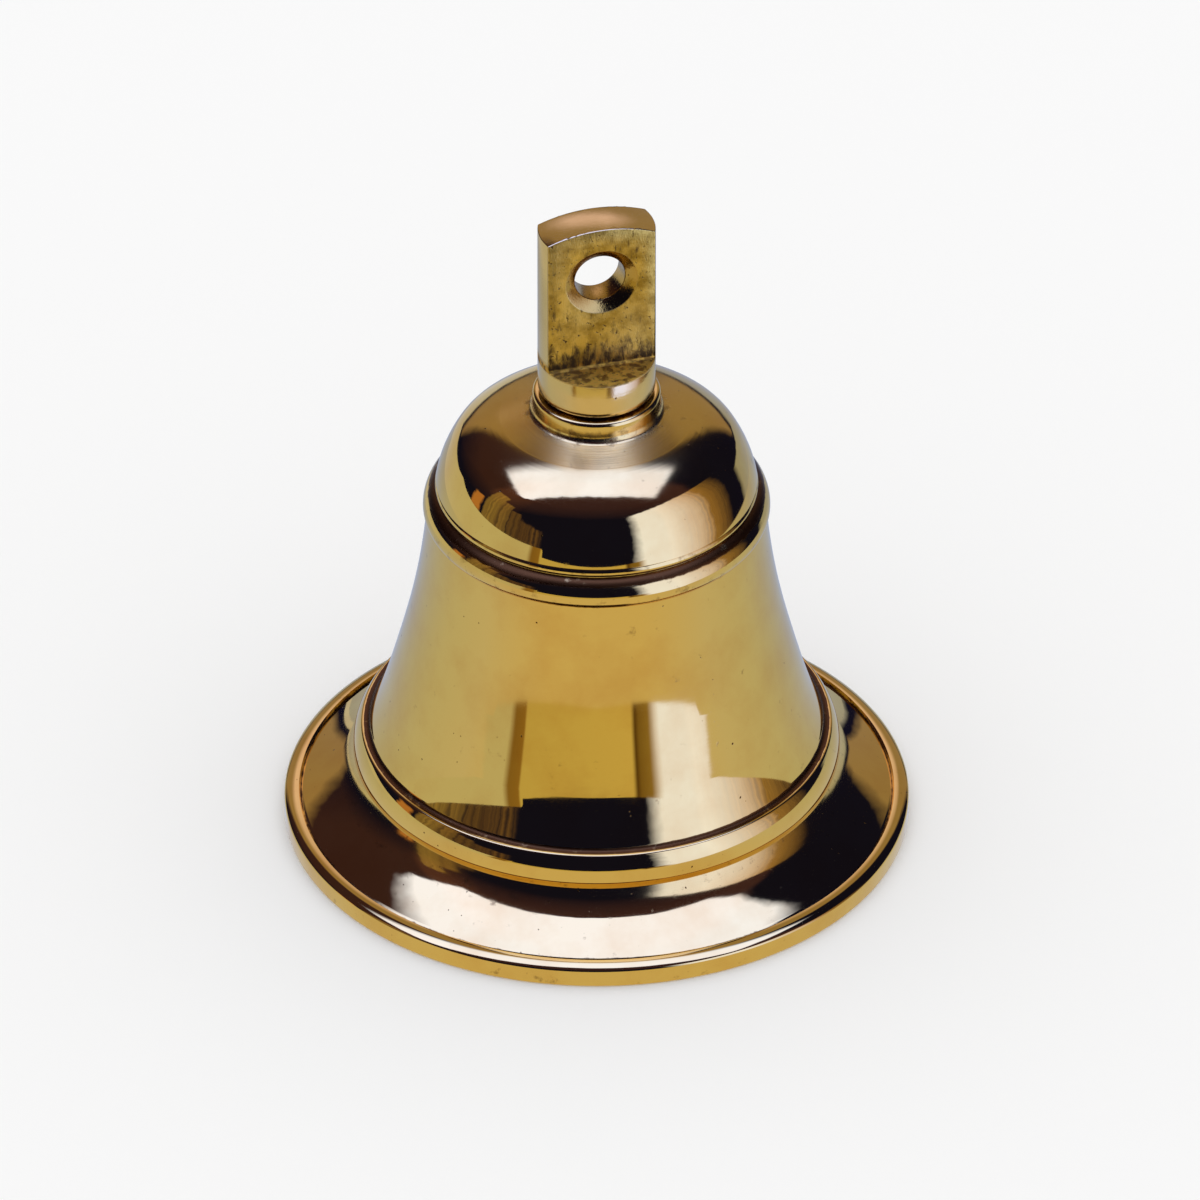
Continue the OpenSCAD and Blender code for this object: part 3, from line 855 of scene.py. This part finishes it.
def workshop_marks(tree, noise, axes, faces):
    """Shares from 0 to 1 of each mark, on the faces that have it."""
    over_shelf = add(tree, "ShaderNodeMapRange", {"Value": axes["Z"],
                     "From Min": flat_foot + 4.6, "From Max": flat_foot + 0.9})
    sooty = add(tree, "ShaderNodeMath", {0: over_shelf, 1: 0.22, 2: noise["streaks"]},
                operation="MULTIPLY_ADD")
    marks = {}
    for name, value, low, high in (
            ("soot", sooty, 0.56, 0.76),
            ("smudge", noise["smudges"], 0.42, 0.66),
            ("pit", noise["pits"], 0.66, 0.72),
            ("chip", noise["chips"], 0.45, 0.60)):
        marks[name] = add(tree, "ShaderNodeMapRange",
                          {"Value": value, "From Min": low, "From Max": high})
    for name, mark, face in (("soot", "soot", "flat"), ("pit", "pit", "milled"),
                             ("shelf chip", "chip", "shelf")):
        marks[name] = add(tree, "ShaderNodeMath", {0: marks[mark], 1: faces[face]},
                          operation="MULTIPLY")
    return marks


print("milled faces:", len(GROUND) + len(UPRIGHT), "patterns")

# %% [markdown]
# ## Bar brass with milled flats
# Now the masks and the marks come together: colour first, then how rough each
# place is, then its dents. The lowest millimetre, where the stud meets the boss,
# is darkened towards the dirt colour as painted shade. Beside this rough piece
# the bell looks all the smoother.

# %% Bar brass with milled flats
BAR_BRASS = "#E4C070"


def milled_look(tree, faces, marks):
    shelf = lay_over(tree, colour("#F2B632"), [(marks["chip"], colour("#9A6A18"))])
    milled = lay_over(tree, colour("#D8AC40"),
                      [(marks["smudge"], colour("#A07A22")), (faces["eye"], colour("#BE9640")),
                       (faces["shelf"], shelf)])
    return lay_over(tree, colour(BAR_BRASS),
                    [(faces["milled"], milled), (marks["soot"], colour("#4A3414")),
                     (marks["pit"], colour("#5A421A"))])


def bar_brass():
    """A soft sheen on the round sides, and a worn workshop look on the milled faces."""
    material, tree = new_tree("milled_bar_brass")
    place, axes = place_in_mm(tree)
    faces = milled_faces(tree, place, axes)
    noise = workshop_noise(tree, place)
    marks = workshop_marks(tree, noise, axes, faces)
    look = milled_look(tree, faces, marks)
    dull = lay_over(tree, colour("#C09A48"), [(0.75, look)])
    rough = add_up(tree, 0.13, [(faces["flat or shelf"], 0.18), (faces["shelf"], 0.22),
                                (marks["soot"], 0.25)])
    scratch = add(tree, "ShaderNodeMath", {0: noise["scratches"], 1: faces["milled"]},
                  operation="MULTIPLY")
    # Dents in thousandths of a millimetre
    dents = add_up(tree, 0, [(scratch, 22), (marks["pit"], -25), (noise["streaks"], 8),
                             (noise["smudges"], 20), (marks["shelf chip"], 30)])
    # Painted shade: the stud darkens towards the dirt colour in its lowest millimetre, where it
    # meets the boss
    shade_at_foot = add(tree, "ShaderNodeMapRange", {"Value": axes["Z"], "From Min": boss_top + 1.2,
               "From Max": boss_top + 0.1, "To Max": 0.8})
    finish_metal(tree, (look, dull, "#553818"),
                 {"Place": place, "Along": axes["Z"], "Satin": 0.3, "Soil_And_Shade": shade_at_foot}, rough, dents)
    return material


stud.data.materials.clear()
stud.data.materials.append(bar_brass())
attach(stud, "bell")
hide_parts("hanger_stud")
print("bar brass:", len(stud.data.materials[0].node_tree.nodes), "nodes")

# %% [markdown]
# ## The clapper and its fixings
# The washers, the nut, the pin and the clapper are in the dark of the bell, but
# they show from below. They could be turned again like the bell, but their solids
# are fine enough for pieces without a mirror finish. So the solids are kept, and
# each gets the metal of the real piece.

# %% Metals of the inside
def inside_metal(name, tones, satin_share, soil_and_shade_share):
    material, tree = new_tree(name)
    place, axes = place_in_mm(tree)
    finish_metal(tree, tones, {"Place": place, "Along": axes["Z"], "Satin": satin_share,
                               "Soil_And_Shade": soil_and_shade_share})
    return material


# A soft sheen with fine rings, which lifts the nut off the dark wall
machined = inside_metal("machined_brass", ("#DDB65C", "#C79A48", "#6B4620"), 0.6, 0.15)
# The one cool grey, so the eye finds the spring washer
steel = inside_metal("zinc_plated_spring_steel", ("#B9BCC0", "#9EA2A6", "#6F6A60"), 0.7, 0.1)
# Redder than brass, so the pin shows in its fork
bronze = inside_metal("drawn_bronze", ("#C58A58", "#A86F42", "#5A3A22"), 0.5, 0.2)
# Brown and dull, like a clapper that nobody polishes
tarnished = inside_metal("tarnished_brass", ("#C9A04E", "#A87C36", "#5C3E1E"), 0.5, 0.35)

finishes = {"crown_washer": machined, "lock_washer": steel, "crown_nut": machined,
            "clapper_pin": bronze, "clapper_rod": tarnished, "clapper_ball": tarnished,
            "lanyard_eye": tarnished}
for name, material in finishes.items():
    nodes[name].data.materials.clear()
    nodes[name].data.materials.append(material)
print("dressed:", ", ".join(finishes))

# %% [markdown]
# ## The studio
# Polished brass has almost no pattern of its own: what the eye sees is the room.
# The surroundings are cards of light in the world, as in a tent of soft boxes:
# a large one overhead, a tall one on the right, a dim one on the left, and a
# dark gap between them that gives the brass its depth. Lamps would light the
# table too, but a card in the world can be kept for reflections alone.

# %% Place and mask of a card
CAMERA_TURN = math.radians(-14.5)
CAMERA_LIFT = math.radians(34.8)


def place_on_card(tree, given):
    """Place on the card's plane, as tangents of the angle from its middle."""
    faced = add(tree, "ShaderNodeVectorRotate",
                {"Vector": given["Direction"], "Angle": given["Facing"]}, rotation_type="Z_AXIS")
    tipped = add(tree, "ShaderNodeVectorRotate", {"Vector": faced, "Angle": given["Tip"]},
                 rotation_type="X_AXIS")
    axes = add(tree, "ShaderNodeSeparateXYZ", {0: tipped}).outputs
    # A direction away from the card gets almost no depth, and so a place far off the card
    depth = add(tree, "ShaderNodeMath", {0: axes["Z"], 1: 0.0001}, operation="MAXIMUM")
    return [add(tree, "ShaderNodeMath", {0: axes[axis], 1: depth}, operation="DIVIDE")
            for axis in "XY"]


def card_mask(tree, given, across, up):
    """1 on the card and 0 off it, with its own fade on each edge."""
    place = add(tree, "ShaderNodeCombineXYZ", {"X": across, "Y": up})
    mask = (1, 1, 1)
    for high, low, fade in ((place, given["Low"], given["Low fade"]),
                            (given["High"], place, given["High fade"])):
        for way, other in (("SUBTRACT", low), ("DIVIDE", fade), ("MAXIMUM", (0, 0, 0)),
                           ("MINIMUM", (1, 1, 1)), ("MULTIPLY", mask)):
            high = add(tree, "ShaderNodeVectorMath", {0: high, 1: other}, operation=way)
        mask = high
    sides = add(tree, "ShaderNodeSeparateXYZ", {0: mask}).outputs
    return add(tree, "ShaderNodeMath", {0: sides["X"], 1: sides["Y"]}, operation="MULTIPLY")


print("camera", math.degrees(CAMERA_TURN), "degrees round and", math.degrees(CAMERA_LIFT), "up")

# %% [markdown]
# ## A card of light
# A soft box is an even rectangle of light, and a hanging cloth is one with folds
# in it. One node group does for both: it is told where the card faces, how far
# it reaches and how strong its folds are. An area lamp has no folds, and it would
# light the table too.

# %% A card of light
FOLDS_ACROSS = 26.0
FOLD_DEPTH = 3.0


def card_group():
    tree = bpy.data.node_groups.new("light_card", "ShaderNodeTree")
    name_sockets(tree, "INPUT", {"Direction": "Vector", "Facing": "Float", "Tip": "Float",
                                 "Low": "Vector", "High": "Vector", "Low fade": "Vector",
                                 "High fade": "Vector", "Streaks": "Float", "Light": "Color"})
    name_sockets(tree, "OUTPUT", {"Light": "Color"})
    given = add(tree, "NodeGroupInput").outputs
    across, up = place_on_card(tree, given)
    mask = card_mask(tree, given, across, up)
    # Folds of cloth: uneven bands across the card
    bands = add(tree, "ShaderNodeTexNoise", {"W": across, "Scale": FOLDS_ACROSS},
                noise_dimensions="1D")
    lean = add(tree, "ShaderNodeMath", {0: bands, 1: FOLD_DEPTH, 2: -FOLD_DEPTH / 2},
               operation="MULTIPLY_ADD")
    fold = add(tree, "ShaderNodeMath", {0: lean, 1: given["Streaks"], 2: 1.0},
               operation="MULTIPLY_ADD")
    share = add(tree, "ShaderNodeMath", {0: fold, 1: mask}, operation="MULTIPLY")
    lit = add(tree, "ShaderNodeVectorMath", {0: given["Light"], "Scale": share},
              operation="SCALE")
    add(tree, "NodeGroupOutput", {0: lit})
    return tree


CARD = card_group()
print("card group:", len(CARD.nodes), "nodes")

# %% [markdown]
# ## The list of cards
# Each row says where a card faces, how far it reaches, how its edges fade and
# what light it gives. Planes with emission could stand round the bell instead,
# but they would get in the way of a camera on another side. The soft boxes are
# bluish, because brass takes the blue out again: white light would look yellow.

# %% The cards of this studio
def card(name, facing, x, y, fade_x, fade_y, light, wall=True, streaks=0):
    """Name and inputs of a card.

    facing: degrees to the right of the camera. A wall stands, and the others lie
    overhead. x and y reach from edge to edge, as tangents from the card's middle.
    """
    return name, {"Facing": math.radians(-facing), "Tip": math.radians(-90 if wall else 0),
                  "Low": (x[0], y[0], -1), "High": (x[1], y[1], 1),
                  "Low fade": (fade_x[0], fade_y[0], 1), "High fade": (fade_x[1], fade_y[1], 1),
                  "Streaks": streaks, "Light": (*light, 1)}


CARDS = [
    card("soft box overhead", 0, x=(-0.90, 0.64), y=(-0.27, 0.40), fade_x=(0.05, 0.05),
         fade_y=(0.02, 0.16), light=(1.16, 1.66, 6.6), wall=False),
    card("gold wall behind", 180, x=(-0.76, 0.76), y=(0.03, 4.2), fade_x=(0.12, 0.12),
         fade_y=(0.05, 1.2), light=(0.34, 0.28, 0.20)),
    card("pale wall behind", 180, x=(-0.35, 0.5), y=(0.42, 1.1), fade_x=(0.25, 0.25),
         fade_y=(0.2, 0.4), light=(0.55, 0.50, 1.1)),
    card("pale ground behind", 180, x=(-1.6, 1.6), y=(-40, 0.0), fade_x=(0.3, 0.3),
         fade_y=(1, 0.05), light=(0.38, 0.46, 0.66)),
    card("glow before the soft box", 0, x=(-3, 3), y=(-1.2, 0.1), fade_x=(2, 2),
         fade_y=(1.0, 0.1), light=(0.05, 0.024, 0.03), wall=False),
    card("red glow on the left", -110, x=(-1.2, 1.2), y=(0.1, 4), fade_x=(0.6, 0.6),
         fade_y=(0.5, 2), light=(0.04, 0.018, 0.01)),
    card("orange strip", -95, x=(-0.09, 0.09), y=(-0.1, 0.2), fade_x=(0.03, 0.03),
         fade_y=(0.1, 0.05), light=(0.5, 0.25, 0.08)),
    card("soft box on the right", 55, x=(-0.60, 0.66), y=(-3, 1.0), fade_x=(0.18, 0.70),
         fade_y=(0.1, 0.06), light=(1.05, 1.42, 4.6)),
    card("warm edge of that box", 55, x=(-0.1, 1.3), y=(-3, 1.0), fade_x=(0.5, 0.7),
         fade_y=(0.1, 0.06), light=(0.35, 0.25, 0.12), streaks=0.3),
]
# Folds of the drape: from edge to edge, the fade of its right edge, its top and its light
DRAPE_FACES = -73
FOLDS = {
    "outer fold": (-0.27, -0.04, 0.02, 0.70, (0.22, 0.18, 0.08)),
    "middle fold": (-0.06, 0.13, 0.02, 0.51, (0.17, 0.13, 0.06)),
    "inner fold": (0.12, 0.30, 0.02, 0.36, (0.10, 0.07, 0.03)),
    "fold in the shade": (0.29, 0.70, 0.08, 0.29, (0.085, 0.056, 0.024)),
}
for name, (left, right, fade, top, light) in FOLDS.items():
    CARDS.append(card(name, DRAPE_FACES, x=(left, right), y=(-3, top), fade_x=(0.02, fade),
                      fade_y=(0.1, 0.03), light=light, streaks=0.8))
print("cards of light:", len(CARDS))

# %% [markdown]
# ## The world
# The world adds up the cards for rays that come from the brass. All other rays
# meet plain white, which lights the table evenly and keeps the background pale.
# One image of a room would do all this at once, but no image is used here, and
# single cards are easier to move.

# %% The world of cards
# Real soft boxes and drapes have creased edges, so the cards waver by this much
WAVER = 0.06
DARK_OF_THE_ROOM = (0.007, 0.008, 0.05)


def card_light(tree):
    """The light of all cards in the direction of a ray."""
    direction = add(tree, "ShaderNodeTexCoord").outputs["Generated"]
    crease = add(tree, "ShaderNodeTexNoise", {"Vector": direction, "Scale": 14, "Detail": 3})
    wavered = add(tree, "ShaderNodeVectorMath",
                  {0: crease.outputs["Color"], 1: [WAVER] * 3, 2: direction},
                  operation="MULTIPLY_ADD")
    centred = add(tree, "ShaderNodeVectorMath", {0: wavered, 1: [WAVER / 2] * 3},
                  operation="SUBTRACT")
    seen = add(tree, "ShaderNodeVectorRotate", {"Vector": centred, "Angle": -CAMERA_TURN},
               rotation_type="Z_AXIS")
    total = DARK_OF_THE_ROOM
    for name, inputs in CARDS:
        lit = add(tree, "ShaderNodeGroup", {"Direction": seen, **inputs}, node_tree=CARD,
                  label=name)
        total = add(tree, "ShaderNodeVectorMath", {0: lit, 1: total}, operation="ADD")
    return total


def studio_world():
    world = bpy.data.worlds.new("studio")
    world.use_nodes = True
    world.cycles.sampling_method = "NONE"
    tree = world.node_tree
    tree.nodes.clear()
    cards = add(tree, "ShaderNodeBackground", {"Color": card_light(tree)})
    white = add(tree, "ShaderNodeBackground", {"Color": (1, 1, 1, 1)})
    path = add(tree, "ShaderNodeLightPath").outputs
    choice = add(tree, "ShaderNodeMixShader", {0: path["Is Glossy Ray"], 1: white, 2: cards})
    add(tree, "ShaderNodeOutputWorld", {"Surface": choice})
    return world


bpy.context.scene.world = studio_world()
print("world:", len(bpy.context.scene.world.node_tree.nodes), "nodes")

# %% [markdown]
# ## The table
# The bell stands on white paper on a wooden table. The camera sees the paper and
# the bell's soft shadow on it. The brass sees more, as painted light: paper in
# cooler, dimmer shade at the sides and behind, bare wood past the paper's front
# edge, and nothing past the table's.
# A ring of real planes could stand for all this. One plane was chosen, because
# then the bell's shadow falls on it without a seam.

# %% Directions on the table
def direction_on_table(tree):
    """Place, distance from the bell, angle to the right, and how far back and ahead."""
    place = add(tree, "ShaderNodeTexCoord").outputs["Object"]
    faced = add(tree, "ShaderNodeVectorRotate", {"Vector": place, "Angle": -CAMERA_TURN},
                rotation_type="Z_AXIS")
    axes = add(tree, "ShaderNodeSeparateXYZ", {0: faced}).outputs
    unit = add(tree, "ShaderNodeVectorMath", {0: faced}, operation="NORMALIZE")
    ahead = add(tree, "ShaderNodeMath", {0: axes["Y"], 1: -1.0}, operation="MULTIPLY")
    angle = add(tree, "ShaderNodeMath", {0: axes["X"], 1: ahead}, operation="ARCTAN2")
    return {"place": place, "ahead": ahead, "angle": angle,
            "distance": add(tree, "ShaderNodeVectorMath", {0: place}, operation="LENGTH"),
            "to the back": add(tree, "ShaderNodeSeparateXYZ", {0: unit}).outputs["Y"],
            "turned away": add(tree, "ShaderNodeMath", {0: angle}, operation="ABSOLUTE")}


print("the camera looks along", round(math.degrees(CAMERA_TURN), 1), "degrees")

# %% [markdown]
# ## Painted light of paper and wood
# What the brass sees of the table is painted light. The paper's light turns
# cooler and dimmer from the front to the back, as painted shade. The bare wood
# has a dark strip on its left and a darker end on its right, before the gap where
# the soft box shows. A photograph of wood would bring grain that nobody can make
# out in the brass, so bands of colour by their angle do.

# %% Paper and wood, as the brass sees them
# Share of the way from the front to the back, and the painted light of the paper
# there: cooler and dimmer towards the back, as painted shade
PAPER_LIGHT = [(0.05, (0.70, 0.66, 0.60, 1)), (0.30, (0.64, 0.68, 0.86, 1)),
         (0.55, (0.58, 0.65, 0.82, 1)), (1.0, (0.38, 0.46, 0.66, 1))]
# The wood lies in a sector before the bell: degrees to the right of the camera,
# and the painted light of the wood there
SECTOR = 60
WOOD_LIGHT = [
    (-60, (0.60, 0.66, 0.80, 1)),
    (-46, (0.60, 0.66, 0.80, 1)),
    (-43, (0.26, 0.18, 0.07, 1)),
    (-38, (0.30, 0.20, 0.07, 1)),
    (-37, (0.60, 0.56, 0.34, 1)),
    (18, (0.66, 0.60, 0.36, 1)),
    (20, (0.10, 0.06, 0.02, 1)),
    (22, (0.22, 0.16, 0.06, 1)),
    (27, (0.30, 0.23, 0.10, 1)),
    (33, (0.60, 0.50, 0.40, 0)),
]


def colour_bands(tree, value, low, high, stops):
    """Colours along a value that goes from low to high, each at its share of the way."""
    share = add(tree, "ShaderNodeMapRange", {"Value": value, "From Min": low, "From Max": high})
    ramp = add(tree, "ShaderNodeValToRGB", {0: share})
    bands = ramp.color_ramp.elements
    bands[0].position, bands[0].color = stops[0]
    bands[1].position, bands[1].color = stops[-1]
    for position, light in stops[1:-1]:
        bands.new(position).color = light
    return ramp


def paper_and_wood_light(tree, where):
    paper = colour_bands(tree, where["to the back"], -1, 1, PAPER_LIGHT)
    in_sector = [((degrees + SECTOR) / (2 * SECTOR), light) for degrees, light in WOOD_LIGHT]
    reach = math.radians(SECTOR)
    return paper, colour_bands(tree, where["angle"], -reach, reach, in_sector)


print("bands of wood:", len(WOOD_LIGHT))

# %% [markdown]
# ## Edges of the paper and the table
# The paper's front edge is a slant that comes nearer to a corner, and the table
# ends straight ahead, but not to the sides. Two objects could have these edges,
# but a mask for each is easier to soften, and a torn edge is only some noise.

# %% Edges of the paper and the table
# Metres from the bell. The paper is nearer by this much at its corner, with a step there
PAPER_FRONT = 0.200
PAPER_NEARER = 0.029
PAPER_STEP = 0.0075
PAPER_CORNER = math.radians(54)
STEP_TURN = 0.026
TABLE_FRONT = 0.345
TABLE_HALF = 3.0
FRONT_ENDS = math.radians(36), math.radians(39)
TEAR = 0.008
SOFT_EDGE = 0.002


def bare_table(tree, where):
    """1 past the paper's front edge."""
    slant = add(tree, "ShaderNodeMapRange", {"Value": where["turned away"],
                "From Max": PAPER_CORNER, "To Max": PAPER_NEARER})
    step = add(tree, "ShaderNodeMapRange", {"Value": where["turned away"],
               "From Min": PAPER_CORNER, "From Max": PAPER_CORNER + STEP_TURN,
               "To Max": -PAPER_STEP})
    slanted = add(tree, "ShaderNodeMath", {0: slant, 1: step}, operation="ADD")
    reach = add(tree, "ShaderNodeMath", {0: where["distance"], 1: slanted}, operation="ADD")
    return add(tree, "ShaderNodeMapRange", {"Value": reach, "From Min": PAPER_FRONT - SOFT_EDGE,
               "From Max": PAPER_FRONT + SOFT_EDGE})


def past_table(tree, where):
    """1 past the table's front edge."""
    tears = add(tree, "ShaderNodeTexNoise", {"Vector": where["place"], "Scale": 90, "Detail": 3})
    torn = add(tree, "ShaderNodeMath", {0: tears, 1: TEAR, 2: where["ahead"]},
               operation="MULTIPLY_ADD")
    front = add(tree, "ShaderNodeMapRange", {"Value": where["turned away"],
                "From Min": FRONT_ENDS[0], "From Max": FRONT_ENDS[1],
                "To Min": TABLE_FRONT, "To Max": 2 * TABLE_HALF})
    past = add(tree, "ShaderNodeMath", {0: torn, 1: front}, operation="SUBTRACT")
    return add(tree, "ShaderNodeMapRange", {"Value": past, "From Min": -SOFT_EDGE,
               "From Max": SOFT_EDGE})


print("bare wood from", PAPER_FRONT, "m to", TABLE_FRONT, "m before the bell")

# %% [markdown]
# ## The material of the table
# The paper is plain and pale, so that the outline of the bell and its shadow
# stand out. Rays from the brass get painted light instead: the table glows in the
# lit and shaded colours of the wider table, and they go through it where there is
# none. Two tables, each hidden from some rays, would do it without a mix of
# shaders, but then they could slip apart.

# %% Material of the table
def table_material():
    material, tree = new_tree("white_paper")
    where = direction_on_table(tree)
    paper_light, wood_light = paper_and_wood_light(tree, where)
    bare = bare_table(tree, where)
    reflected = lay_over(tree, paper_light, [(bare, wood_light)])

    # Nothing is there past the table's front, nor in the gap on the right
    gap = add(tree, "ShaderNodeMath", {0: 1.0, 1: wood_light.outputs["Alpha"]}, operation="SUBTRACT")
    bare_gap = add(tree, "ShaderNodeMath", {0: bare, 1: gap}, operation="MULTIPLY")
    gone = add(tree, "ShaderNodeMath", {0: bare_gap, 1: past_table(tree, where)},
               operation="MAXIMUM")
    # Painted light: rays from the brass see the table glow with fixed light of paper and wood, not
    # lit paper
    painted_table_light = add(tree, "ShaderNodeEmission", {"Color": reflected})
    clear = add(tree, "ShaderNodeBsdfTransparent")
    mirrored = add(tree, "ShaderNodeMixShader", {0: gone, 1: painted_table_light, 2: clear})
    paper = add(tree, "ShaderNodeBsdfDiffuse", {"Color": colour("#FAFAFA")})
    path = add(tree, "ShaderNodeLightPath").outputs
    top = add(tree, "ShaderNodeMixShader", {0: path["Is Glossy Ray"], 1: paper, 2: mirrored})
    # From below the table isn't there, so the inside of the bell can be looked at
    under = add(tree, "ShaderNodeNewGeometry").outputs["Backfacing"]
    one_sided = add(tree, "ShaderNodeMixShader", {0: under, 1: top, 2: clear})
    add(tree, "ShaderNodeOutputMaterial", {"Surface": one_sided})
    return material


mesh = bpy.data.meshes.new("table")
CORNERS = ((-1, -1), (1, -1), (1, 1), (-1, 1))
UNDER_RIM = -0.02 * MM
places = [(x * TABLE_HALF, y * TABLE_HALF, UNDER_RIM) for x, y in CORNERS]
mesh.from_pydata(places, [], [(0, 1, 2, 3)])
table = link_object("table", mesh)
mesh.materials.append(table_material())
print("table:", 2 * TABLE_HALF, "m wide")

# %% [markdown]
# ## The camera
# The rim's outline in the photograph is an ellipse whose height is 0.57 of its
# width, so the camera looks down at 34.8 degrees. The widths don't shrink
# towards the rim, so it stands far away. It is turned 14.5 degrees to the left
# of the stud's bore. Placed by eye it would be close, but no measure would fit.

# %% Camera
FRAME_WIDTH = 0.16290
CAMERA_DISTANCE = 6.5
AIM_HEIGHT = 0.0343
AIM_RIGHT = 0.00046
right = Vector((math.cos(CAMERA_TURN), math.sin(CAMERA_TURN), 0))
back = Vector((math.sin(CAMERA_TURN) * math.cos(CAMERA_LIFT),
               -math.cos(CAMERA_TURN) * math.cos(CAMERA_LIFT), math.sin(CAMERA_LIFT)))
data = bpy.data.cameras.new("camera")
data.lens = data.sensor_width * CAMERA_DISTANCE / FRAME_WIDTH
data.clip_end = 100
camera = link_object("camera", data)
camera.location = Vector((0, 0, AIM_HEIGHT)) + right * AIM_RIGHT + back * CAMERA_DISTANCE
camera.rotation_euler = back.to_track_quat("Z", "Y").to_euler()
bpy.context.scene.camera = camera
bpy.context.scene.view_settings.view_transform = "Standard"
print("lens:", round(data.lens), "mm")
